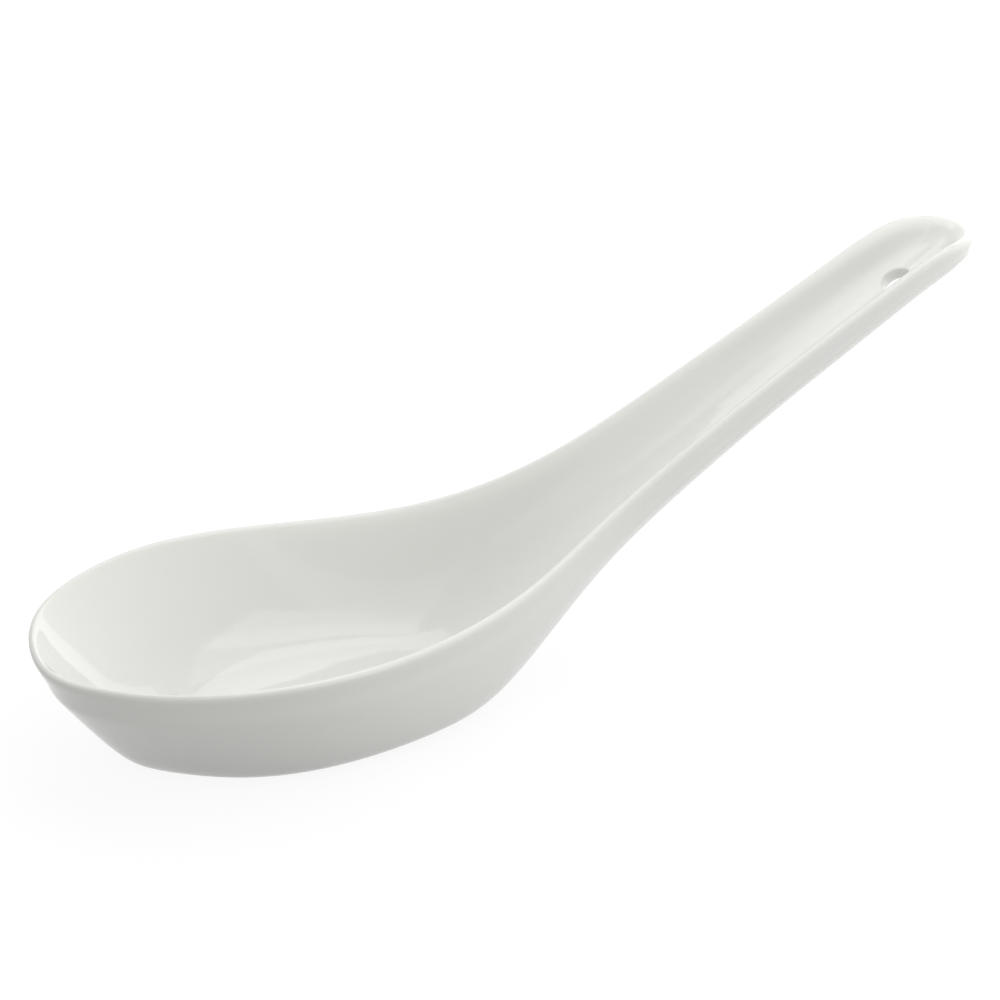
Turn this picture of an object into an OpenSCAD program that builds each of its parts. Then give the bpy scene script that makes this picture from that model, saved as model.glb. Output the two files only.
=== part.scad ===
// Chinese soup spoon: a slip-cast porcelain body under a coat of clear white glaze.
// The foot stands on the plane z = 0, the bowl's tip points along -X and the handle's end along +X.
// The whole skin is a lofted net: closed loops run round the spoon, and spokes run from the middle
// line of the underside, up the outside, over the rim and down to the middle line of the inside.

/* [Overall] */
// Length over all, from the bowl's tip to the handle's end
spoon_length = 136; // [124:1:150]
// Height of the rim near the handle's end above the table
spoon_height = 50.3; // [44:0.1:58]

/* [Bowl] */
// Length of the bowl, from its tip to the neck
bowl_length = 65; // [58:1:72]
// Width of the bowl over its rim
bowl_width = 45.5; // [40:0.5:52]
// Height of the bowl's rim above the table
bowl_height = 19; // [16:0.5:23]

/* [Base] */
// Distance from the bowl's tip back to the front corner of the base
base_setback = 11.5; // [9:0.5:14]
// Length of the base between its front corner and its heel
base_length = 50; // [45:0.5:55]
// Width of the base between its side corners
base_width = 30; // [28:0.5:34]
// Distance from the front corner of the base back to the bare foot
foot_setback = 5; // [4.5:0.25:6]
// Length of the bare foot
foot_length = 31; // [27:0.5:32]
// Width of the bare foot
foot_width = 19; // [16:0.5:19.5]
// Height of the bare foot below the glaze round it
foot_height = 0.2; // [0.1:0.05:0.4]

/* [Handle] */
// Width of the handle over its rim
handle_width = 14.5; // [12:0.5:18]
// Depth of the handle from its rim to its underside
handle_depth = 7.5; // [7:0.25:9]
// Width of the handle's underside between its corners
keel_width = 10; // [8:0.5:12]
// Distance from the handle's end back to the end of its underside
keel_setback = 2.5; // [1.5:0.25:4]

/* [Rim] */
// Thickness of the wall at the rim
rim_thickness = 1.9; // [1.6:0.1:2.4]
// Radius of the rim's outer edge
rim_round = 0.8; // [0.5:0.05:1]
// Height over which the rim's inner edge rounds off
lip_height = 1.6; // [1:0.1:2]
// Height of the band under the rim
band_height = 4.7; // [3.5:0.1:5.5]
// Distance that the ridge under the band stands in from the rim
ridge_inset = 1.3; // [0.8:0.1:1.8]
// Depth of the cove in the band, at the sides of the bowl
band_cove = 0.3; // [0.15:0.05:0.45]

/* [Walls] */
// Distance from the base's side corner in to the corner of the bowl's floor
wall_inset = 1.8; // [1.4:0.1:2.6]
// Thickness of the bowl's floor
floor_thickness = 3; // [2.4:0.1:3.6]
// Upright thickness of the floor of the handle's channel
channel_thickness = 1.9; // [1.8:0.1:2.6]
// Thickness of the glaze
glaze_thickness = 0.25; // [0.15:0.05:0.35]

/* [Hanging hole] */
// Diameter of the hole near the handle's end
hole_diameter = 4; // [3:0.1:5]
// Distance of the hole's middle from the handle's end
hole_from_end = 10.5; // [9.5:0.1:16]

/* [Hidden] */

// Stations of the loops' control cage, from 0 at the tip to last_station at the handle's end
last_station = 13;
// Spokes between two stations, and all the spokes on one side
station_steps = 4;
half_spokes = last_station * station_steps;
all_spokes = 2 * half_spokes;
// Facets across the outer wall, the band, each rim edge and the inner wall
outer_steps = 6;
band_steps = 3;
edge_steps = 2;
inner_steps = 7;
// Fullness of the outer wall, the rim's edges and the inner wall, as weights of their corners
outer_weight = 1.55;
edge_weight = 0.75;
inner_weight = 1.5;
// The base is flat up to this station, and the bare foot lies inside it
heel_station = 5;
heel_spoke = heel_station * station_steps;
// Steps along one side of the bare foot's oval, of which the last ones fan out to the heel
foot_steps = 24;

handle_length = spoon_length - bowl_length;
handle_rise = spoon_height - bowl_height;
tip_x = -spoon_length / 2;
neck_x = tip_x + bowl_length;
end_x = spoon_length / 2;
base_x = tip_x + base_setback;
heel_x = base_x + base_length;
keel_length = end_x - keel_setback - heel_x;
// Width of the rim's flat top, as a share of the wall inside the outer edge
rim_top_share = 0.15;
// Distance from the ends of the underside in to the ends of its middle line
spine_front_margin = 8.5;
spine_end_margin = 4;

// Rim: places along the bowl and along the handle, then half widths and heights
bowl_place_shares = [-0.016, 0.032, 0.17, 0.37, 0.585, 0.8, 1, 1, 1, 1, 1, 1, 1, 1];
handle_place_shares = [0, 0, 0, 0, 0, 0, 0, 0.183, 0.38, 0.577, 0.754, 0.89, 0.98, 1.01];
bowl_half_shares = [0, 0.48, 0.818, 1.022, 0.994, 0.822, 0.62, 0, 0, 0, 0, 0, 0, 0];
handle_half_shares = [0, 0, 0, 0, 0, 0, 0, 1.3, 1.12, 1.01, 0.98, 0.955, 0.74, 0];
bowl_level_shares = [0.88, 0.98, 0.985, 1, 0.97, 0.955, 1, 1, 1, 1, 1, 1, 1, 1];
handle_level_shares = [0, 0, 0, 0, 0, 0, 0.022, 0.195, 0.425, 0.652, 0.85, 1.005, 0.997, 1];
rim_shares = [0.95, 0.95, 0.95, 0.95, 1, 1.1, 1.2, 1.2, 1.1, 1.05, 1.15, 1.35, 1.3, 1.35];
band_shares = [1, 1, 1, 1.02, 1.02, 1.02, 1.02, 1, 0.915, 0.81, 0.71, 0.61, 0.5, 0.42];
ridge_shares = [1.5, 1.5, 1.2, 1, 1, 0.92, 0.7, 0.45, 0.3, 0.23, 0.23, 0.23, 0.3, 0.3];
cove_shares = [1.2, 1.2, 1.1, 1, 1, 1, 1, 1.3, 1.5, 1.5, 1.3, 1, 0.7, 0.5];
lip_shares = [1, 1, 1, 1, 1, 1, 1, 1, 1, 1, 1, 0.9, 0.6, 0.45];
// Underside: places along the base and along the handle, half widths and depths under the rim
base_place_shares = [-0.013, 0.026, 0.19, 0.38, 0.58, 0.79, 0.988, 1, 1, 1, 1, 1, 1, 1];
keel_place_shares = [0, 0, 0, 0, 0, 0, 0, 0.2, 0.41, 0.61, 0.785, 0.91, 0.986, 1.007];
base_half_shares = [0, 0.273, 0.773, 0.99, 1.027, 0.967, 0.747, 0, 0, 0, 0, 0, 0, 0];
keel_half_shares = [0, 0, 0, 0, 0, 0, 0, 1.2, 1, 0.96, 0.96, 0.92, 0.68, 0];
keel_depth_shares = [0, 0, 0, 0, 0, 0, 0, 1.53, 1.22, 1.02, 0.95, 0.94, 0.68, 0.6];
flat_shares = [0.72, 0.74, 0.78, 0.8, 0.76, 0.6, 0.4, 0.3, 0.3, 0.3, 0.3, 0.3, 0.3, 0.3];
front_margin_shares = [1.06, 1.06, 0.57, 0, 0, 0, 0, 0, 0, 0, 0, 0, 0, 0];
end_margin_shares = [0, 0, 0, 0, 0, 0, 0, 0, 0, 0, 0, 0, 0.85, 1];
wall_shares = [1, 1, 1, 1, 1, 1, 0.9, 0.75, 0.8, 0.8, 0.6, 0.5, 0.8, 1.2];
bowl_floor_shares = [1, 1, 1, 1, 1, 1, 0.9, 0.4, 0, 0, 0, 0, 0, 0];
channel_floor_shares = [0, 0, 0, 0, 0, 0, 0.1, 0.6, 1, 1, 1, 1, 1.15, 1.35];
scoop_shares = [0, 0, 0, 0, 0, 0, 0, 0, 0, 0, 0, 0, 0.3, 0.65];

stations = [0 : last_station];
rim_places = [for (i = stations) tip_x + bowl_length * bowl_place_shares[i] + handle_length * handle_place_shares[i]];
rim_halves = [for (i = stations) (bowl_width * bowl_half_shares[i] + handle_width * handle_half_shares[i]) / 2];
rim_levels = [for (i = stations) bowl_height * bowl_level_shares[i] + handle_rise * handle_level_shares[i]];
base_places = [for (i = stations) base_x + base_length * base_place_shares[i] + keel_length * keel_place_shares[i]];
base_halves = [for (i = stations) (base_width * base_half_shares[i] + keel_width * keel_half_shares[i]) / 2];
base_levels = [for (i = stations)
    keel_depth_shares[i] == 0 ? foot_height : rim_levels[i] - handle_depth * keel_depth_shares[i]];
floors = [for (i = stations) floor_thickness * bowl_floor_shares[i] + channel_thickness * channel_floor_shares[i]];
scoops = [for (i = stations) channel_thickness * scoop_shares[i]];
spine_places = [for (i = stations)
    base_places[i] + spine_front_margin * front_margin_shares[i] - spine_end_margin * end_margin_shares[i]];

// Control value of station i, mirrored past the tip and past the end; side is -1 for half widths
function mirrored(cage, i, side) =
    i < 0 ? side * cage[-i] : i > last_station ? side * cage[2 * last_station - i] : cage[i];

// Value at t of the smooth cubic curve that the control values pull
function along(cage, t, side = 1) =
    let (i = min(floor(t), last_station - 1), f = t - i, g = 1 - f)
    (g * g * g * mirrored(cage, i - 1, side)
        + (3 * f * f * f - 6 * f * f + 4) * mirrored(cage, i, side)
        + (3 * g * g * g - 6 * g * g + 4) * mirrored(cage, i + 1, side)
        + f * f * f * mirrored(cage, i + 2, side)) / 6;

// Slope at t of the same curve
function slope_along(cage, t, side = 1) =
    let (i = min(floor(t), last_station - 1), f = t - i, g = 1 - f)
    (-g * g * mirrored(cage, i - 1, side)
        + (3 * f * f - 4 * f) * mirrored(cage, i, side)
        - (3 * g * g - 4 * g) * mirrored(cage, i + 1, side)
        + f * f * mirrored(cage, i + 2, side)) / 2;

// Unit vector square to a loop in plan, pointing into the spoon
function inward(places, halves, t) =
    let (dx = slope_along(places, t), dy = slope_along(halves, t, -1), run = norm([dx, dy]))
    [dy / run, -dx / run, 0];

// Points of a conic arc from start to finish that leans on corner, without its first point
function arc_points(start, corner, finish, weight, steps) =
    [for (k = [1 : steps])
        let (t = k / steps, a = (1 - t) * (1 - t), b = 2 * weight * t * (1 - t), c = t * t)
        (a * start + b * corner + c * finish) / (a + b + c)];

// Points of the band from the ridge up to the rim's outer edge, without the first
function band_points(start, finish, lean) =
    [for (k = [1 : band_steps])
        let (t = k / band_steps)
        start + (finish - start) * t + lean * 4 * t * (1 - t)];

// One spoke at t on the +Y side, set in from the finished surface by depth
function spoke(t, depth) =
    let (
        up = [0, 0, 1],
        rim = [along(rim_places, t), along(rim_halves, t, -1), along(rim_levels, t)],
        in = inward(rim_places, rim_halves, t),
        wall = rim_thickness * along(rim_shares, t),
        rim_top = rim_round + (wall - rim_round) * rim_top_share,
        cove = band_cove * along(cove_shares, t),
        ridge = rim + in * (ridge_inset * along(ridge_shares, t) + depth) - up * band_height * along(band_shares, t),
        corner = [along(base_places, t), along(base_halves, t, -1), along(base_levels, t)],
        corner_in = inward(base_places, base_halves, t),
        spine = [along(spine_places, t), 0, corner[2]],
        flat = spine + (corner - spine) * along(flat_shares, t),
        lower = corner + (corner_in + up) * depth,
        floor_up = up * (along(floors, t) - depth),
        floor_middle = spine + floor_up - up * along(scoops, t),
        floor_corner = corner + corner_in * (wall_inset * along(wall_shares, t) - depth) + floor_up,
        outer_edge = rim + in * depth - up * rim_round,
        outer_top = rim + in * rim_round - up * depth,
        inner_top = rim + in * rim_top - up * depth,
        inner_edge = rim + in * (wall - depth) - up * lip_height * along(lip_shares, t)
    )
    concat(
        [spine + up * depth, flat + up * depth],
        arc_points(flat + up * depth, lower, ridge, outer_weight, outer_steps),
        band_points(ridge, outer_edge, in * cove),
        arc_points(outer_edge, rim + (in - up) * depth, outer_top, edge_weight, edge_steps),
        [inner_top],
        arc_points(inner_top, rim + in * (wall - depth) - up * depth, inner_edge, edge_weight, edge_steps),
        arc_points(inner_edge, floor_corner, floor_middle, inner_weight, inner_steps)
    );

// Spokes are numbered round the spoon: up the +Y side to the handle's end and back on the -Y side
function side_spoke(j) = let (k = j % all_spokes) k > half_spokes ? all_spokes - k : k;
last_row = 2 + outer_steps + band_steps + 2 * edge_steps + inner_steps;

// Oval of the bare foot on a level, from the step behind the heel on the -Y side round the front
foot_front = base_x + foot_setback;
function foot_ring(level) =
    [for (k = [1 - foot_steps : foot_steps])
        let (a = 180 * k / foot_steps)
        [foot_front + foot_length * (1 - cos(a)) / 2, foot_width * sin(a) / 2, level]];
ring_count = 2 * foot_steps;

// All points of a skin: the lower middle line, the closed rows, the upper middle line, the foot's oval
function skin_points(depth) =
    let (spokes = [for (k = [0 : half_spokes]) spoke(k / station_steps, depth)])
    concat(
        [for (k = [0 : half_spokes]) spokes[k][0]],
        [for (row = [1 : last_row - 1], j = [0 : all_spokes - 1])
            let (p = spokes[side_spoke(j)][row]) j > half_spokes ? [p[0], -p[1], p[2]] : p],
        [for (k = [0 : half_spokes]) spokes[k][last_row]],
        foot_ring(foot_height + depth)
    );
ring_first = 2 * (half_spokes + 1) + (last_row - 1) * all_spokes;
skin_count = ring_first + ring_count;

// Number of the point on a row and a spoke, and of the oval's point at a step
function at(row, j) =
    row == 0 ? side_spoke(j)
    : row == last_row ? ring_first - half_spokes - 1 + side_spoke(j)
    : half_spokes + 1 + (row - 1) * all_spokes + (j + all_spokes) % all_spokes;
function on_ring(k) = ring_first + (k + 3 * foot_steps - 1) % ring_count;

// Two triangles of a four-sided facet, split along one diagonal or the other
function facet(a, b, c, d, leans) = leans ? [[a, b, d], [b, c, d]] : [[a, b, c], [a, c, d]];

// Which diagonal a facet takes: mirrored across the spoon, and never one that lies along the middle
function tucked(row, k) = row == 0 || (row == last_row - 1 && k < half_spokes / 2);
function leans(row, j) = j < half_spokes ? tucked(row, j) : !tucked(row, all_spokes - 1 - j);

// Facets of a skin from the foot's oval up and round; behind the heel they close the underside too
function skin_faces() =
    concat(
        [for (row = [0 : last_row - 1], j = [0 : all_spokes - 1])
            if (row > 0 || min(side_spoke(j), side_spoke(j + 1)) >= heel_spoke)
                each facet(at(row, j), at(row, j + 1), at(row + 1, j + 1), at(row + 1, j), leans(row, j))],
        [for (k = [-heel_spoke : heel_spoke - 1])
            each facet(on_ring(k), on_ring(k + 1), at(1, k + 1), at(1, k), k < 0)],
        [[on_ring(heel_spoke), at(0, heel_spoke), at(1, heel_spoke)],
            [on_ring(-heel_spoke), at(1, -heel_spoke), at(0, heel_spoke)]],
        [for (k = [heel_spoke : ring_count - heel_spoke - 1]) [on_ring(k), on_ring(k + 1), at(0, heel_spoke)]]
    );

// Facets shifted to a later place in a list of points, and facets turned inside out
function shifted(faces, first) = [for (f = faces) [for (v = f) v + first]];
function turned(faces) = [for (f = faces) [f[2], f[1], f[0]]];

// Upright facets from the oval that starts at low to the one that starts at high, seen from outside
function edge_faces(low, high) =
    [for (k = [0 : ring_count - 1])
        let (n = (k + 1) % ring_count)
        each [[low + k, low + n, high + n], [low + k, high + n, high + k]]];

finished_skin = skin_points(0);
clay_skin = skin_points(glaze_thickness);

module clay_solid() {
    foot = foot_ring(0);
    middle = skin_count + ring_count;
    foot_faces = [for (k = [0 : ring_count - 1]) [skin_count + (k + 1) % ring_count, skin_count + k, middle]];
    polyhedron(
        points = concat(clay_skin, foot, [[foot_front + foot_length / 2, 0, 0]]),
        faces = concat(skin_faces(), foot_faces, edge_faces(skin_count, ring_first)),
        convexity = 6
    );
}

module glaze_solid() {
    polyhedron(
        points = concat(clay_skin, finished_skin),
        faces = concat(
            turned(skin_faces()),
            shifted(skin_faces(), skin_count),
            turned(edge_faces(skin_count + ring_first, ring_first))
        ),
        convexity = 8
    );
}

// Place of the hole: t where the middle line reaches it, found by halving
function seek(x, low, high, turns) =
    let (mid = (low + high) / 2)
    turns == 0 ? mid : along(spine_places, mid) < x ? seek(x, mid, high, turns - 1) : seek(x, low, mid, turns - 1);
seek_turns = 24;
hole_t = seek(end_x - hole_from_end, 0, last_station, seek_turns);
hole_floor = along(floors, hole_t) - along(scoops, hole_t);
hole_middle = [along(spine_places, hole_t), 0, along(base_levels, hole_t) + hole_floor / 2];
hole_tilt = atan2(slope_along(base_levels, hole_t), slope_along(spine_places, hole_t));

// A rod square to the channel's floor at the hole, with its middle halfway through the floor
module hole_rod(length, diameter) {
    translate(hole_middle)
        rotate([0, -hole_tilt, 0])
            cylinder(h = length, d = diameter, center = true, $fn = 64);
}
clay_hole_diameter = hole_diameter + 2 * glaze_thickness;
through_length = 3 * floor_thickness;

// Rows of the underside and of the channel that a slice of the floor takes, and spokes on each side
slice_low_rows = 4;
slice_high_rows = 3;
slice_reach = 6;

// Slice of the floor round the hole, set in from the finished surface by depth
module floor_slice(depth) {
    first = max(round(hole_t * station_steps) - slice_reach, heel_spoke);
    last = min(round(hole_t * station_steps) + slice_reach, half_spokes);
    rows = concat([for (row = [0 : slice_low_rows]) row], [for (row = [last_row - slice_high_rows : last_row]) row]);
    turn = len(rows) - 1;
    ring = 2 * turn;
    rings = [for (j = [first : last])
        let (points = spoke(j / station_steps, depth))
        [for (k = [0 : ring - 1])
            let (p = points[rows[k > turn ? ring - k : k]])
            k > turn ? [p[0], -p[1], p[2]] : p]];
    count = last - first + 1;
    ends = [for (r = [rings[0], rings[count - 1]]) (r[0] + r[turn]) / 2];
    polyhedron(
        points = concat([for (r = rings) each r], ends),
        faces = concat(
            [for (j = [0 : count - 2], k = [0 : ring - 1])
                let (n = (k + 1) % ring, a = j * ring, b = a + ring)
                each facet(a + k, b + k, b + n, a + n, k < turn)],
            [for (k = [0 : ring - 1]) [k, (k + 1) % ring, count * ring]],
            [for (k = [0 : ring - 1])
                let (a = (count - 1) * ring)
                [a + (k + 1) % ring, a + k, count * ring + 1]]
        ),
        convexity = 4
    );
}

// The fired clay, bare only on the foot
module porcelain_body() {
    color("linen")
        difference() {
            clay_solid();
            hole_rod(through_length, clay_hole_diameter);
        }
}

// The glaze, a thin skin over all but the foot, which lines the hole too
module glaze_coat() {
    color("white")
        difference() {
            union() {
                glaze_solid();
                intersection() {
                    floor_slice(glaze_thickness / 2);
                    hole_rod(through_length, clay_hole_diameter);
                }
            }
            hole_rod(through_length, hole_diameter);
        }
}

porcelain_body();
glaze_coat();
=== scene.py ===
# %% [markdown]
# # A porcelain Chinese soup spoon
# The spoon is one clay casting under a coat of clear white glaze. It stands on a small oval foot that was
# left bare, has a channel down its handle and a hanging hole near the handle's end.
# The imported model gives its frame: metres, +Z up, the bowl's tip towards -X, the handle's end towards +X.

# %% Load the frame
import math
import bpy
import bmesh
import numpy as np
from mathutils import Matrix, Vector


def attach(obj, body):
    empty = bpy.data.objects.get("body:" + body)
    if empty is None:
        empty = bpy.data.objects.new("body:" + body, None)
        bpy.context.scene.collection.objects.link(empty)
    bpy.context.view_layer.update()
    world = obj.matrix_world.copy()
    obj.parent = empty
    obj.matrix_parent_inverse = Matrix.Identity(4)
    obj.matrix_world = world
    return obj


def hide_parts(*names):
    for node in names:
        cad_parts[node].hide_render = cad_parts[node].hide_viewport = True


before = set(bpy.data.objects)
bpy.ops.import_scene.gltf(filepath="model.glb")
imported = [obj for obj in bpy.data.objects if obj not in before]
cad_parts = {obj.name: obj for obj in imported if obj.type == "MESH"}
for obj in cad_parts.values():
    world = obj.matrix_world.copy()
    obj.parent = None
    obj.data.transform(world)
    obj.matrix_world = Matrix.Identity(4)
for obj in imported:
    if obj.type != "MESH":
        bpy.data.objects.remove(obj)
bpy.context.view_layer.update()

# %% [markdown]
# ## Sizes
# All the spoon's curves hang on one control cage: fourteen stations from the tip to the handle's end, each
# with a place, a half width and a height. The sizes are those of the solid model, in millimetres, and the
# tables are shares of them, so this surface and the solid one are the same shape at different fineness.

# %% Sizes of the spoon, in millimetres
MM = 0.001
spoon_length, spoon_height = 136, 50.3
bowl_length, bowl_width, bowl_height = 65, 45.5, 19
base_setback, base_length, base_width = 11.5, 50, 30
foot_setback, foot_length, foot_width, foot_height = 5, 31, 19, 0.2
handle_width, handle_depth, keel_width, keel_setback = 14.5, 7.5, 10, 2.5
rim_thickness, rim_round, lip_height, band_height, ridge_inset, band_cove = 1.9, 0.8, 1.6, 4.7, 1.3, 0.3
wall_inset, floor_thickness, channel_thickness, glaze_thickness = 1.8, 3, 1.9, 0.25
hole_diameter, hole_from_end = 4, 10.5
spine_front_margin, spine_end_margin = 8.5, 4
outer_weight, edge_weight, inner_weight = 1.55, 0.75, 1.5
last_station, heel_station, rim_top_share = 13, 5, 0.15
heel_angle = math.radians(150)

handle_length, handle_rise = spoon_length - bowl_length, spoon_height - bowl_height
tip_x, end_x = -spoon_length / 2, spoon_length / 2
base_x = tip_x + base_setback
heel_x = base_x + base_length
foot_front = base_x + foot_setback
keel_length = end_x - keel_setback - heel_x

# %% Control cages
def cage(*shares):
    """One value for each station."""
    return np.array(shares, float)

rim_x = (tip_x
         + bowl_length * cage(-0.016, 0.032, 0.17, 0.37, 0.585, 0.8, 1, 1, 1, 1, 1, 1, 1, 1)
         + handle_length * cage(0, 0, 0, 0, 0, 0, 0, 0.183, 0.38, 0.577, 0.754, 0.89, 0.98, 1.01))
rim_y = (bowl_width * cage(0, 0.48, 0.818, 1.022, 0.994, 0.822, 0.62, 0, 0, 0, 0, 0, 0, 0)
         + handle_width * cage(0, 0, 0, 0, 0, 0, 0, 1.3, 1.12, 1.01, 0.98, 0.955, 0.74, 0)) / 2
rim_z = (bowl_height * cage(0.88, 0.98, 0.985, 1, 0.97, 0.955, 1, 1, 1, 1, 1, 1, 1, 1)
         + handle_rise * cage(0, 0, 0, 0, 0, 0, 0.022, 0.195, 0.425, 0.652, 0.85, 1.005, 0.997, 1))
wall = rim_thickness * cage(0.95, 0.95, 0.95, 0.95, 1, 1.1, 1.2, 1.2, 1.1, 1.05, 1.15, 1.35, 1.3, 1.35)
band = band_height * cage(1, 1, 1, 1.02, 1.02, 1.02, 1.02, 1, 0.915, 0.81, 0.71, 0.61, 0.5, 0.42)
ridge_in = ridge_inset * cage(1.5, 1.5, 1.2, 1, 1, 0.92, 0.7, 0.45, 0.3, 0.23, 0.23, 0.23, 0.3, 0.3)
cove = band_cove * cage(1.2, 1.2, 1.1, 1, 1, 1, 1, 1.3, 1.5, 1.5, 1.3, 1, 0.7, 0.5)
lip_down = lip_height * cage(1, 1, 1, 1, 1, 1, 1, 1, 1, 1, 1, 0.9, 0.6, 0.45)
base_px = (base_x
           + base_length * cage(-0.013, 0.026, 0.19, 0.38, 0.58, 0.79, 0.988, 1, 1, 1, 1, 1, 1, 1)
           + keel_length * cage(0, 0, 0, 0, 0, 0, 0, 0.2, 0.41, 0.61, 0.785, 0.91, 0.986, 1.007))
base_py = (base_width * cage(0, 0.273, 0.773, 0.99, 1.027, 0.967, 0.747, 0, 0, 0, 0, 0, 0, 0)
           + keel_width * cage(0, 0, 0, 0, 0, 0, 0, 1.2, 1, 0.96, 0.96, 0.92, 0.68, 0)) / 2
keel_depth = handle_depth * cage(0, 0, 0, 0, 0, 0, 0, 1.53, 1.22, 1.02, 0.95, 0.94, 0.68, 0.6)
base_pz = np.where(keel_depth == 0, foot_height, rim_z - keel_depth)
flat_share = cage(0.72, 0.74, 0.78, 0.8, 0.76, 0.6, 0.4, 0.3, 0.3, 0.3, 0.3, 0.3, 0.3, 0.3)
spine_x = (base_px
           + spine_front_margin * cage(1.06, 1.06, 0.57, 0, 0, 0, 0, 0, 0, 0, 0, 0, 0, 0)
           - spine_end_margin * cage(0, 0, 0, 0, 0, 0, 0, 0, 0, 0, 0, 0, 0.85, 1))
wall_in = wall_inset * cage(1, 1, 1, 1, 1, 1, 0.9, 0.75, 0.8, 0.8, 0.6, 0.5, 0.8, 1.2)
floors = (floor_thickness * cage(1, 1, 1, 1, 1, 1, 0.9, 0.4, 0, 0, 0, 0, 0, 0)
          + channel_thickness * cage(0, 0, 0, 0, 0, 0, 0.1, 0.6, 1, 1, 1, 1, 1.15, 1.35))
scoops = channel_thickness * cage(0, 0, 0, 0, 0, 0, 0, 0, 0, 0, 0, 0, 0.3, 0.65)
print("rim half widths", np.round(rim_y, 1))

# %% [markdown]
# ## Curves along the spoon
# A smooth cubic curve follows the cage of each size, as a bent batten follows its weights. At the tip and at
# the end the cage is mirrored, so the two sides of the spoon meet there without a corner.

# %% Smooth curves along the cages
def batten(values, t, side=1, slope=False):
    """Uniform cubic spline over the stations: four neighbouring control values, each times its cubic weight.

    Past both ends the values are mirrored, times side (-1 for half widths). With slope, the weights are the
    derivatives of the cubics, which gives the curve's direction."""
    ring = np.concatenate([[side * values[1]], values, [side * values[-2]]])
    i = np.minimum(np.floor(t).astype(int), last_station - 1)
    f = t - i
    g = 1 - f
    if slope:
        weights = [-g * g / 2, (3 * f * f - 4 * f) / 2, -(3 * g * g - 4 * g) / 2, f * f / 2]
    else:
        weights = [g ** 3 / 6, (3 * f ** 3 - 6 * f * f + 4) / 6, (3 * g ** 3 - 6 * g * g + 4) / 6, f ** 3 / 6]
    return sum(w * ring[i + k] for k, w in enumerate(weights))


def inward(x_cage, y_cage, t):
    """Unit vectors square to a loop in plan, pointing into the spoon: its direction turned by a right angle."""
    dx, dy = batten(x_cage, t, slope=True), batten(y_cage, t, -1, slope=True)
    run = np.hypot(dx, dy)
    return np.stack([dy / run, -dx / run, 0 * t], -1)


def conic(start, corner, finish, weight, steps, first=False):
    """Rows of a conic arc from start to finish leaning on corner: the three points averaged with the weights
    (1-u)^2, 2wu(1-u) and u^2, for steps values of u."""
    u = np.linspace(0, 1, steps + 1)[0 if first else 1:, None, None]
    a, b, c = (1 - u) ** 2, 2 * weight * u * (1 - u), u ** 2
    return (a * start + b * corner + c * finish) / (a + b + c)

# %% [markdown]
# ## The spoke
# At every place round the spoon a spoke runs from the underside's middle line, up the outer wall to the
# ridge, over the band and the rim, and down the inner wall to the bowl's middle line. Glaze softens every
# corner that it runs over, so the rows near the ridge and the rim are averaged with their neighbours.

# %% The spoon's skin as a grid of spokes
flat_rows, outer_rows, band_rows, edge_rows, top_rows, inner_rows = 10, 36, 12, 10, 4, 44
ridge_row = flat_rows + outer_rows
rim_row = ridge_row + band_rows
lip_row = rim_row + 2 * edge_rows + top_rows
up = np.array([0, 0, 1.0])


def foot_oval(angle, spread, level):
    """The bare foot's oval: the cosine and sine of the angle times its half sizes, pushed out by spread along
    the oval's own normal, at one level."""
    half_l, half_w = foot_length / 2, foot_width / 2
    x, y = -half_l * np.cos(angle), half_w * np.sin(angle)
    nx, ny = x / half_l ** 2, y / half_w ** 2
    run = np.hypot(nx, ny)
    return np.stack([foot_front + half_l + x + spread * nx / run, y + spread * ny / run, 0 * x + level], -1)


def spokes(t, depth, spread=0):
    """Rows of points of the spokes at t on the +Y side, set in by depth from the finished surface.

    In words: straight from the middle line (or, in front of the heel, from the foot's oval) to the flat's edge,
    a conic to the ridge, a shallow cove up the band, two conics over the rim, a conic down to the middle."""
    rim = np.stack([batten(rim_x, t), batten(rim_y, t, -1), batten(rim_z, t)], -1)
    side = inward(rim_x, rim_y, t)
    thick = batten(wall, t)[:, None]
    ridge = rim + side * (batten(ridge_in, t)[:, None] + depth) - up * batten(band, t)[:, None]
    corner = np.stack([batten(base_px, t), batten(base_py, t, -1), batten(base_pz, t)], -1)
    corner_side = inward(base_px, base_py, t)
    spine = np.stack([batten(spine_x, t), 0 * t, corner[:, 2]], -1)
    flat = spine + (corner - spine) * batten(flat_share, t)[:, None] + up * depth
    oval = foot_oval(t / heel_station * heel_angle, spread, foot_height + depth)
    first = np.where((t <= heel_station)[:, None], oval, spine + up * depth)
    floor_up = up * (batten(floors, t)[:, None] - depth)
    floor_corner = corner + corner_side * (batten(wall_in, t)[:, None] - depth) + floor_up
    floor_middle = spine + floor_up - up * batten(scoops, t)[:, None]
    outer_edge = rim + side * depth - up * rim_round
    outer_top = rim + side * rim_round - up * depth
    inner_top = rim + side * (rim_round + (thick - rim_round) * rim_top_share) - up * depth
    inner_edge = rim + side * (thick - depth) - up * batten(lip_down, t)[:, None]
    u = np.linspace(0, 1, flat_rows + 1)[:, None, None]
    v = np.linspace(0, 1, band_rows + 1)[1:, None, None]
    rows = np.concatenate([
        first + (flat - first) * u,
        conic(flat, corner + (corner_side + up) * depth, ridge, outer_weight, outer_rows),
        ridge + (outer_edge - ridge) * v + side * batten(cove, t)[:, None] * 4 * v * (1 - v),
        conic(outer_edge, rim + (side - up) * depth, outer_top, edge_weight, edge_rows),
        outer_top + (inner_top - outer_top) * np.linspace(0, 1, top_rows + 1)[1:, None, None],
        conic(inner_top, rim + side * (thick - depth) - up * depth, inner_edge, edge_weight, edge_rows),
        conic(inner_edge, floor_corner, floor_middle, inner_weight, inner_rows),
    ])
    return soften(rows)


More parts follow.
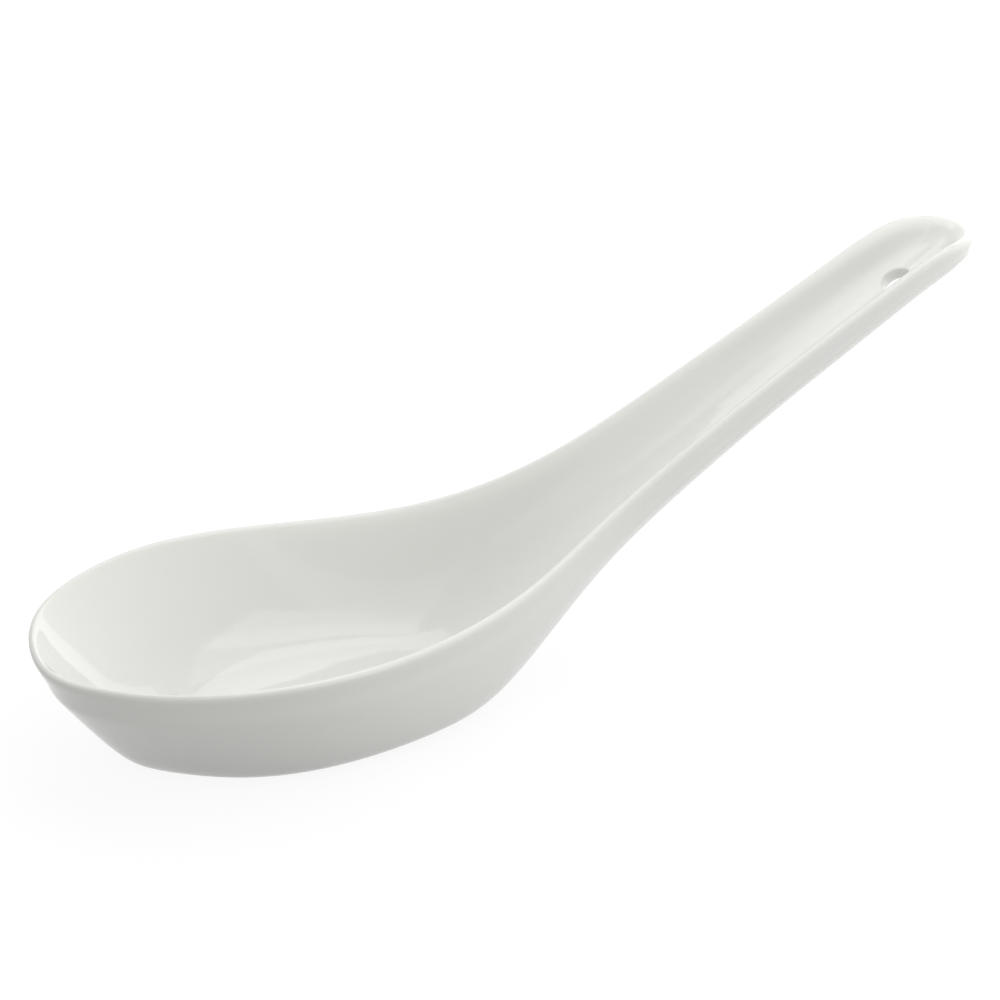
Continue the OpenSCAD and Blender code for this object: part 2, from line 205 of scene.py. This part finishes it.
def soften(rows):
    """Average each row with its two neighbours, over and over: a few times at the ridge, many times at the two
    edges of the rim. The share of the mean that a row takes falls to nothing away from those places."""
    number = np.arange(len(rows))[:, None, None]
    for passes, middle, reach in ((3, ridge_row, 5), (30, rim_row, 12), (36, lip_row, 15)):
        share = np.clip(1.5 - 1.5 * np.abs(number - middle) / reach, 0, 1)
        for _ in range(passes):
            mean = rows.copy()
            mean[1:-1] = (rows[:-2] + rows[2:]) / 2
            rows = rows + (mean - rows) * share * 0.5
    return rows


print("rows", lip_row + inner_rows + 1)

# %% [markdown]
# ## The hanging hole
# The hole goes square through the floor of the channel. Glaze rounds its two lips. A block of the grid is
# taken out of the channel's floor and of the underside, and rings that turn from the block's outline into a
# circle take its place, so the mesh runs into the hole without a seam.

# %% Where the hole is
def bisect(x):
    """The station where the middle line reaches x, by halving the interval that holds it."""
    low, high = np.array([0.0]), np.array([float(last_station)])
    for _ in range(40):
        mid = (low + high) / 2
        low, high = (mid, high) if batten(spine_x, mid)[0] < x else (low, mid)
    return mid


hole_t = bisect(end_x - hole_from_end)
hole_floor = batten(floors - scoops, hole_t)[0]
hole_middle = np.array([batten(spine_x, hole_t)[0], 0, batten(base_pz, hole_t)[0] + hole_floor / 2])
hole_tilt = math.atan2(batten(base_pz, hole_t, slope=True)[0], batten(spine_x, hole_t, slope=True)[0])
along = np.array([math.cos(hole_tilt), 0, math.sin(hole_tilt)])
across = np.array([0, 1.0, 0])
axis = np.array([-math.sin(hole_tilt), 0, math.cos(hole_tilt)])
print("hole at", hole_middle.round(2), "tilt", round(math.degrees(hole_tilt), 1))

# %% Grids into one closed mesh
station_steps = 18
hole_columns, hole_rows = 16, 24
ring_count, lip_count, bore_count = 10, 6, 6
glaze_lip, clay_lip = 0.35, 0.3
t_side = np.arange(last_station * station_steps + 1) / station_steps
heel_column = heel_station * station_steps


def whole(rows):
    """Both sides of a grid: the +Y spokes from the tip to the end, then the -Y spokes back to the tip."""
    return np.concatenate([rows, rows[:, ::-1] * [1, -1, 1]], axis=1)


def quads(grid, keep=None):
    """Points and four-sided faces of a grid; keep is an array of cells that says which stay."""
    r, c = grid.shape[:2]
    number = np.arange(r * c).reshape(r, c)
    faces = np.stack([number[:-1, :-1], number[:-1, 1:], number[1:, 1:], number[1:, :-1]], -1)
    faces = faces[keep] if keep is not None else faces.reshape(-1, 4)
    return grid.reshape(-1, 3), faces.reshape(-1, 4)


def outline(block):
    """The points along the edge of a block of the grid, once round."""
    return np.concatenate([block[0, :-1], block[:-1, -1], block[-1, :0:-1], block[:0:-1, 0]])


def on_block(block, p, q):
    """Heights over the hole's plane at the places p, q: along each column first, then between the columns."""
    bp, bq, bh = ((block - hole_middle) @ v for v in (along, across, axis))
    cols = range(block.shape[1])
    p_at = np.stack([np.interp(q, bq[:, k], bp[:, k]) for k in cols])
    h_at = np.stack([np.interp(q, bq[:, k], bh[:, k]) for k in cols])
    k = np.clip((p_at < p).sum(0) - 1, 0, block.shape[1] - 2)
    n = np.arange(len(p))
    f = (p - p_at[k, n]) / (p_at[k + 1, n] - p_at[k, n])
    return h_at[k, n] + f * (h_at[k + 1, n] - h_at[k, n])


def rings(block, radius):
    """Rings from a block's outline to a circle of the radius, each a step nearer the circle; their heights are
    the block's own."""
    edge = outline(block)
    p, q = (edge - hole_middle) @ along, (edge - hole_middle) @ across
    angle = np.arctan2(q, p)
    u = np.linspace(0, 1, ring_count + 1)[:, None]
    ring_p = p + (radius * np.cos(angle) - p) * u
    ring_q = q + (radius * np.sin(angle) - q) * u
    h = on_block(block, ring_p.ravel(), ring_q.ravel()).reshape(ring_p.shape)
    grid = hole_middle + ring_p[..., None] * along + ring_q[..., None] * across + h[..., None] * axis
    grid[0] = edge
    grid = np.concatenate([grid, grid[:, :1]], axis=1)
    return grid, np.append(angle, angle[0]), np.append(h[-1], h[-1, 0])


def lip(radius, turn, angle, height, way):
    """Quarter circle of the radius turn at the mouth of the bore, from the surface into the bore."""
    u = np.linspace(0, math.pi / 2, lip_count + 1)[:, None]
    r = radius + turn - turn * np.sin(u)
    h = height - way * turn * (1 - np.cos(u))
    p, q, h = (r * np.cos(angle))[..., None], (r * np.sin(angle))[..., None], h[..., None]
    return hole_middle + p * along + q * across + h * axis


fan_steps = round((math.pi - heel_angle) / (heel_angle / heel_column))
foot_angles = np.concatenate([-np.linspace(math.pi, 0, heel_column + fan_steps + 1)[:-1],
                              np.linspace(0, math.pi, heel_column + fan_steps + 1)])


def skin(depth, radius, turn, spread, every=1):
    """All grids of one skin: the spokes less the blocks round the hole, the rings, lips and bore that take the
    blocks' place, and the fan behind the foot. every thins the rows of the spokes."""
    side = spokes(t_side, depth, spread)
    # The spine's ends lie on one point with their neighbours, so no sliver is left where the spokes turn round.
    side[-1, 0], side[-1, -1], side[0, -1] = side[-1, 1], side[-1, -2], side[0, -2]
    rows = whole(side)[::every]
    centre = int(round(hole_t[0] * station_steps))
    c0, c1 = centre - hole_columns // 2, centre + hole_columns // 2
    n, cells = hole_rows // every, rows.shape[1] - 1
    keep = np.ones((rows.shape[0] - 1, cells), bool)
    for left, right in ((c0, c1), (cells - c1, cells - c0)):
        keep[:n, left:right] = keep[-n:, left:right] = False
    keep[:, cells // 2] = False
    parts = [quads(rows, keep)]
    low = np.concatenate([rows[n:0:-1, c0:c1 + 1] * [1, -1, 1], rows[:n + 1, c0:c1 + 1]])
    high = np.concatenate([rows[-n - 1:, c0:c1 + 1] * [1, -1, 1], rows[-2:-n - 2:-1, c0:c1 + 1]])
    mouths = []
    for block, way in ((low, -1), (high, 1)):
        grid, angle, height = rings(block, radius + turn)
        mouths.append(lip(radius, turn, angle, height, way))
        parts += [quads(grid), quads(mouths[-1])]
    u = np.linspace(0, 1, bore_count + 1)[:, None, None]
    parts.append(quads(mouths[0][-1] + (mouths[1][-1] - mouths[0][-1]) * u))
    behind = np.linspace(heel_angle, 2 * math.pi - heel_angle, 2 * fan_steps + 1)
    arc = foot_oval(behind, spread, foot_height + depth)
    parts.append(quads(np.stack([arc, arc * 0 + side[0, heel_column + 1]])))
    return parts


merge_within = 2e-7  # metres; the grids' seams agree to far less


def new_object(name, data):
    """An object with a mesh, a lamp or a camera, put into the scene."""
    made = bpy.data.objects.new(name, data)
    bpy.context.scene.collection.objects.link(made)
    return made


def make_piece(name, parts):
    """One mesh object from grids in millimetres, seams merged and normals turned outwards."""
    first = np.cumsum([0] + [len(points) for points, _ in parts[:-1]])
    points = np.concatenate([points for points, _ in parts]) * MM
    faces = np.concatenate([faces + k for (_, faces), k in zip(parts, first)])
    mesh = bpy.data.meshes.new(name)
    mesh.from_pydata(points, [], faces)
    work = bmesh.new()
    work.from_mesh(mesh)
    bmesh.ops.remove_doubles(work, verts=work.verts, dist=merge_within)
    bmesh.ops.delete(work, geom=[v for v in work.verts if not v.link_faces], context="VERTS")
    bmesh.ops.recalc_face_normals(work, faces=work.faces)
    open_edges = sum(1 for e in work.edges if len(e.link_faces) != 2)
    work.to_mesh(mesh)
    work.free()
    mesh.polygons.foreach_set("use_smooth", np.ones(len(mesh.polygons), bool))
    piece = new_object(name, mesh)
    print(name, len(mesh.vertices), "points", len(mesh.polygons), "faces", open_edges, "open edges")
    return piece

# %% [markdown]
# ## The glaze
# Glaze is a thin skin of glass. The outer face follows the spokes, rolls into the hole and rounds off where it
# was wiped from the foot; the inner face is the clay's own. Both faces make one closed shell, 0.25 mm thick.

# %% The glaze's shell
roll = np.linspace(0, math.pi / 2, 6)[:, None]
glaze_roll = 0.2
hole_radius = hole_diameter / 2
foot_roll = foot_oval(foot_angles, glaze_roll * (1 - np.sin(roll)),
                      foot_height + glaze_thickness * (1 - np.cos(roll)))
clay_skin = skin(glaze_thickness, hole_radius + glaze_thickness, clay_lip, 0, every=2)
glaze = make_piece("glaze", skin(0, hole_radius, glaze_lip, glaze_roll) + [quads(foot_roll)] + clay_skin)

# %% [markdown]
# ## The clay
# Only the oval foot shows: the glaze was wiped off there, and the foot was rubbed flat on a stone after the
# firing, which left its edge a little worn.

# %% The clay body and its bare foot
edge_worn = 0.12
worn = foot_oval(foot_angles, -edge_worn * (1 - np.cos(roll)), edge_worn * (1 - np.sin(roll)))
wall_up = foot_oval(foot_angles, 0 * roll[:2], np.array([[foot_height + glaze_thickness], [edge_worn]]))
share = np.linspace(1, 0, 26)[:, None, None]
foot_middle = np.array([foot_front + foot_length / 2, 0, 0])
sole = foot_middle + (worn[-1] - foot_middle) * share
clay = make_piece("clay", clay_skin + [quads(wall_up), quads(worn), quads(sole)])

# %% [markdown]
# ## Where the glaze lies thick
# Molten glaze draws away from edges and gathers in hollows. The hollows are found on the mesh itself: a
# point that lies below the mean of its neighbours is in a hollow, one that stands above it is on an edge.

# %% The glaze's thickness as an attribute
pool_passes, pool_gain = 14, 0.008


def add_pooling(piece):
    """Attribute "pool": the mean of each point's neighbours less the point, along its normal, smoothed by
    averaging over neighbours, scaled so that 0 is an edge, 0.5 a flat and 1 a hollow."""
    mesh = piece.data
    count = len(mesh.vertices)
    co, no = np.empty(count * 3), np.empty(count * 3)
    mesh.vertices.foreach_get("co", co)
    mesh.vertex_normals.foreach_get("vector", no)
    co, no = co.reshape(-1, 3), no.reshape(-1, 3)
    edges = np.empty(len(mesh.edges) * 2, int)
    mesh.edges.foreach_get("vertices", edges)
    a, b = edges.reshape(-1, 2).T
    span = ((co[a] - co[b]) ** 2).sum(1)
    at_a = np.einsum("ij,ij->i", co[b] - co[a], no[a]) / span
    at_b = np.einsum("ij,ij->i", co[a] - co[b], no[b]) / span
    links = np.bincount(a, minlength=count) + np.bincount(b, minlength=count)
    value = (np.bincount(a, at_a, count) + np.bincount(b, at_b, count)) / links
    value = np.clip(value * pool_gain, -1, 1)
    for _ in range(pool_passes):
        value = (value + (np.bincount(a, value[b], count) + np.bincount(b, value[a], count)) / links) / 2
    attribute = mesh.attributes.new("pool", "FLOAT", "POINT")
    attribute.data.foreach_set("value", np.clip(0.5 + value, 0, 1))
    print("pool from", round(float(value.min()), 2), "to", round(float(value.max()), 2))


add_pooling(glaze)

# %% [markdown]
# ## Node helpers
# Porcelain has no pattern that a picture would be needed for, so both materials are built from nodes. The
# helpers each make one small thing: an empty tree, a node with its settings, a noise in object space, a ramp, a
# value moved to another range, two colours mixed, rare dots or a bump. Object coordinates keep every mark in
# its place on the spoon.

# %% Helpers for materials
def empty_tree(owner):
    """The emptied node tree of a material or a world."""
    owner.use_nodes = True
    owner.node_tree.nodes.clear()
    return owner.node_tree


def node(tree, kind, **settings):
    """A node with its settings; a setting named in_X goes to the input X."""
    made = tree.nodes.new(kind)
    for key, value in settings.items():
        if key.startswith("in_"):
            made.inputs[key[3:].replace("_", " ")].default_value = value
        else:
            setattr(made, key, value)
    return made


def new_material(name):
    """A node material with its output and one Principled shader."""
    material = bpy.data.materials.new(name)
    tree = empty_tree(material)
    shader = node(tree, "ShaderNodeBsdfPrincipled")
    tree.links.new(shader.outputs["BSDF"], node(tree, "ShaderNodeOutputMaterial").inputs["Surface"])
    return material, tree, shader


def noise(tree, scale, detail=2.0, roughness=0.5):
    """Noise on object coordinates, scale in cells for each metre."""
    place = node(tree, "ShaderNodeTexCoord")
    made = node(tree, "ShaderNodeTexNoise", in_Scale=scale, in_Detail=detail, in_Roughness=roughness)
    tree.links.new(place.outputs["Object"], made.inputs["Vector"])
    return made


def ramp(tree, source, *stops):
    """Colour ramp over a value: stops are (place, colour)."""
    made = node(tree, "ShaderNodeValToRGB")
    while len(made.color_ramp.elements) < len(stops):
        made.color_ramp.elements.new(0.5)
    for element, (place, colour) in zip(made.color_ramp.elements, stops):
        element.position = place
        element.color = (*colour, 1)
    tree.links.new(source, made.inputs["Fac"])
    return made


def mapped(tree, source, low, high, to_low, to_high):
    """A value moved from one range to another and held inside it."""
    made = node(tree, "ShaderNodeMapRange")
    for key, value in zip(("From Min", "From Max", "To Min", "To Max"), (low, high, to_low, to_high)):
        made.inputs[key].default_value = value
    tree.links.new(source, made.inputs["Value"])
    return made.outputs["Result"]


def mixed(tree, factor, a, b):
    """Two colours mixed by a factor; a colour may be a socket or a value."""
    made = node(tree, "ShaderNodeMix", data_type="RGBA")
    for key, value in (("Factor", factor), ("A", a), ("B", b)):
        socket = [i for i in made.inputs if i.name == key and i.enabled][0]
        if isinstance(value, bpy.types.NodeSocket):
            tree.links.new(value, socket)
        else:
            socket.default_value = value if key == "Factor" else (*value, 1)
    return [o for o in made.outputs if o.enabled][0]


def rare_dots(tree, scale, channel, inner, outer, amount):
    """Small dots in about one cell in eighty, picked by one channel of the cells' colours: amount up to the
    distance inner from a dot's middle, 0 from outer on."""
    place = node(tree, "ShaderNodeTexCoord")
    cells = node(tree, "ShaderNodeTexVoronoi", in_Scale=scale)
    pick = node(tree, "ShaderNodeSeparateColor")
    both = node(tree, "ShaderNodeMath", operation="MULTIPLY")
    tree.links.new(place.outputs["Object"], cells.inputs["Vector"])
    tree.links.new(cells.outputs["Color"], pick.inputs["Color"])
    tree.links.new(mapped(tree, pick.outputs[channel], 0.985, 0.99, 0, 1), both.inputs[0])
    tree.links.new(mapped(tree, cells.outputs["Distance"], inner, outer, amount, 0), both.inputs[1])
    return both.outputs["Value"]


def bumped(tree, height, strength, depth, under=None):
    """A bump of the height, depth metres deep, on top of the bump under."""
    made = node(tree, "ShaderNodeBump", in_Strength=strength, in_Distance=depth)
    tree.links.new(height, made.inputs["Height"])
    if under:
        tree.links.new(under, made.inputs["Normal"])
    return made.outputs["Normal"]

# %% [markdown]
# ## White glaze
# The glaze is clear glass over near-white clay: a smooth hard gloss, a trace of warm clay where it thins
# over an edge and a trace of cool green where it pools. Up close it has slow waves, a fine orange peel and a
# few pinholes and iron specks.

# %% The glaze's material
glaze_white = (0.80, 0.80, 0.77)
glaze_thin = (0.80, 0.795, 0.76)
glaze_thick = (0.785, 0.795, 0.765)
glaze_cloud = (0.79, 0.793, 0.76)
iron_speck = (0.36, 0.30, 0.22)
white_glaze, tree, shader = new_material("white_glaze")
pool = node(tree, "ShaderNodeAttribute", attribute_name="pool")
tone = ramp(tree, pool.outputs["Fac"],
            (0.15, glaze_thin), (0.45, glaze_white), (0.55, glaze_white), (0.9, glaze_thick))
cloud = mapped(tree, noise(tree, 55, 3).outputs["Fac"], 0.3, 0.7, 0, 0.35)
tone = mixed(tree, cloud, tone.outputs["Color"], glaze_cloud)
tone = mixed(tree, rare_dots(tree, 170, "Red", 0.02, 0.05, 0.55), tone, iron_speck)
tree.links.new(tone, shader.inputs["Base Color"])
gloss = mapped(tree, noise(tree, 140, 4, 0.6).outputs["Fac"], 0.3, 0.75, 0.02, 0.06)
tree.links.new(gloss, shader.inputs["Roughness"])
shader.inputs["IOR"].default_value = 1.5
wave = bumped(tree, noise(tree, 90, 2).outputs["Fac"], 0.1, 0.0006)
peel = bumped(tree, noise(tree, 900, 2).outputs["Fac"], 0.08, 0.00008, wave)
pinholes = bumped(tree, rare_dots(tree, 420, "Green", 0, 0.09, -1), 0.6, 0.00006, peel)
tree.links.new(pinholes, shader.inputs["Normal"])
glaze.data.materials.append(white_glaze)
print(white_glaze.name, len(tree.nodes), "nodes")

# %% [markdown]
# ## Bare clay
# Fired porcelain without glaze is matt, a little warm and very fine in grain. The foot picks up faint grey
# rubs from tables and a few grains of kiln sand.

# %% The clay's material
clay_white, clay_warm = (0.76, 0.735, 0.67), (0.70, 0.665, 0.59)
table_rub, kiln_sand = (0.46, 0.45, 0.42), (0.42, 0.36, 0.28)
bare_porcelain, tree, shader = new_material("bare_porcelain")
grain = noise(tree, 2600, 4, 0.7)
cloud = mapped(tree, noise(tree, 120, 4, 0.6).outputs["Fac"], 0.35, 0.7, 0, 1)
tone = mixed(tree, cloud, clay_white, clay_warm)
place = node(tree, "ShaderNodeTexCoord")
stretch = node(tree, "ShaderNodeMapping", in_Scale=(160, 1400, 160))
scratch = node(tree, "ShaderNodeTexNoise", in_Scale=1, in_Detail=3)
tree.links.new(place.outputs["Object"], stretch.inputs["Vector"])
tree.links.new(stretch.outputs["Vector"], scratch.inputs["Vector"])
tone = mixed(tree, mapped(tree, scratch.outputs["Fac"], 0.55, 0.75, 0, 0.35), tone, table_rub)
tone = mixed(tree, mapped(tree, grain.outputs["Fac"], 0.66, 0.72, 0, 0.5), tone, kiln_sand)
tree.links.new(tone, shader.inputs["Base Color"])
tree.links.new(mapped(tree, grain.outputs["Fac"], 0.3, 0.7, 0.62, 0.85), shader.inputs["Roughness"])
tree.links.new(bumped(tree, grain.outputs["Fac"], 0.35, 0.00005), shader.inputs["Normal"])
clay.data.materials.append(bare_porcelain)
print(bare_porcelain.name, len(tree.nodes), "nodes")

# %% [markdown]
# ## Pieces on the frame
# Each piece rides on the one body and stands for the solid of the same material, which it hides.

# %% Ride on the body and hide the solids they replace
for piece, solid, slot in ((glaze, "glaze_coat", "glaze"), (clay, "porcelain_body", "porcelain")):
    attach(piece, "root")
    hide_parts(solid)
print("pieces", glaze.name, clay.name)

# %% [markdown]
# ## Floor
# The photograph's ground is pure white. The camera, and every reflection in the glaze, sees the floor white
# less the spoon's soft shadow. The light that reaches the spoon from it is that of a pale grey table. Seen
# from below it is clear, so the foot can be looked at.

# %% What a ray sees
def watched(tree):
    """1 for what the camera sees, straight, in a reflection or through glass, and 0 for the rest."""
    ray = node(tree, "ShaderNodeLightPath")
    total = ray.outputs["Is Camera Ray"]
    for kind in ("Is Glossy Ray", "Is Transmission Ray"):
        either = node(tree, "ShaderNodeMath", operation="MAXIMUM")
        tree.links.new(total, either.inputs[0])
        tree.links.new(ray.outputs[kind], either.inputs[1])
        total = either.outputs[0]
    return total


def chosen(tree, factor, other, when_seen):
    """One shader for watched rays and another for the rest."""
    pick = node(tree, "ShaderNodeMixShader")
    for value, socket in zip((factor, other, when_seen), pick.inputs):
        tree.links.new(value, socket)
    return pick.outputs[0]

# %% The floor
floor_half, floor_level = 3.0, -0.0001
corners = [(x * floor_half, y * floor_half, floor_level) for x, y in ((-1, -1), (1, -1), (1, 1), (-1, 1))]
mesh = bpy.data.meshes.new("floor")
mesh.from_pydata(corners, [], [(0, 1, 2, 3)])
floor = new_object("floor", mesh)
white_ground = bpy.data.materials.new("white_ground")
tree = empty_tree(white_ground)
out = node(tree, "ShaderNodeOutputMaterial")
plain = node(tree, "ShaderNodeBsdfDiffuse", in_Color=(0.52, 0.52, 0.52, 1))
shown = node(tree, "ShaderNodeBsdfDiffuse", in_Color=(0.12, 0.12, 0.12, 1))
white = node(tree, "ShaderNodeEmission", in_Color=(1, 1, 1, 1), in_Strength=0.9)
both = node(tree, "ShaderNodeAddShader")
tree.links.new(shown.outputs["BSDF"], both.inputs[0])
tree.links.new(white.outputs["Emission"], both.inputs[1])
above = chosen(tree, watched(tree), plain.outputs["BSDF"], both.outputs[0])
back = node(tree, "ShaderNodeNewGeometry").outputs["Backfacing"]
clear = node(tree, "ShaderNodeBsdfTransparent").outputs["BSDF"]
tree.links.new(chosen(tree, back, above, clear), out.inputs["Surface"])
floor.data.materials.append(white_ground)

# %% [markdown]
# ## Light
# The spoon was lit in a light tent: an even pale sky, and soft boxes near it that the glaze mirrors. Most light
# falls from above; a low box beside the handle's end lights the handle's underside, and one behind draws the
# bright lines along the rim.

# %% The sky
world = bpy.data.worlds.new("sky")
bpy.context.scene.world = world
tree = empty_tree(world)
out = node(tree, "ShaderNodeOutputWorld")
sky = node(tree, "ShaderNodeBackground", in_Color=(1, 1, 1, 1), in_Strength=0.57)
seen = node(tree, "ShaderNodeBackground", in_Color=(1, 1, 1, 1), in_Strength=1.0)
surface = chosen(tree, watched(tree), sky.outputs["Background"], seen.outputs["Background"])
tree.links.new(surface, out.inputs["Surface"])

# %% The soft boxes
def soft_box(name, place, size, aim, radiance):
    """A square lamp: its power in watts is pi times its area times its radiance. The low box at the right is a
    flagged one, so the glaze doesn't mirror it."""
    data = bpy.data.lights.new(name, "AREA")
    data.shape, data.size = "SQUARE", size
    data.energy = math.pi * size * size * radiance
    lamp = new_object(name, data)
    lamp.location = place
    lamp.rotation_euler = (Vector(aim) - Vector(place)).to_track_quat("-Z", "Y").to_euler()
    lamp.visible_glossy = name != "box_low_right"
    print(name, "at", place, "radiance", radiance)


middle, handle_end = (0, 0, 0.02), (0.05, 0, 0.03)
for name, place, size, aim, radiance in (
        ("box_above", (0.06, 0, 0.3), 0.2, (0.03, 0, 0.03), 0.64),
        ("box_above_back", (0.05, 0.2, 0.4), 0.3, middle, 1.2),
        ("box_over_handle", (0.02, -0.06, 0.22), 0.15, (0.057, 0, 0.045), 0.95),
        ("box_front", (-0.1, -0.35, 0.3), 0.3, middle, 0.44),
        ("box_low_front", (0.12, -0.3, 0.03), 0.2, (-0.02, 0, 0.01), 1.2),
        ("box_low_right", (0.32, -0.05, 0.02), 0.26, handle_end, 3.3),
        ("box_right_back", (0.34, 0.27, 0.2), 0.34, (-0.06, 0, 0.015), 0.9)):
    soft_box(name, place, size, aim, radiance)

# %% [markdown]
# ## Camera
# The camera stands in front of the bowl and 27 degrees above the table, 0.7 m away, where a long lens
# frames the spoon as in the photograph.

# %% The camera
azimuth, elevation, distance = math.radians(-28), math.radians(27), 0.7
picture_px, focal_px, centre_px = 1000, 5360, (516.5, 519.8)
sensor = 36
aim = Vector((0, 0, 0.022))
level = math.cos(elevation)
back = Vector((math.sin(azimuth) * level, -math.cos(azimuth) * level, math.sin(elevation)))
camera_data = bpy.data.cameras.new("camera")
camera_data.sensor_width = sensor
camera_data.lens = sensor * focal_px / picture_px
camera_data.shift_x = (picture_px / 2 - centre_px[0]) / picture_px
camera_data.shift_y = (centre_px[1] - picture_px / 2) / picture_px
camera_data.clip_start, camera_data.clip_end = 0.01, 100
camera = new_object("camera", camera_data)
camera.location = aim + back * distance
camera.rotation_euler = (-back).to_track_quat("-Z", "Y").to_euler()
bpy.context.scene.camera = camera
bpy.context.scene.view_settings.view_transform = "Standard"
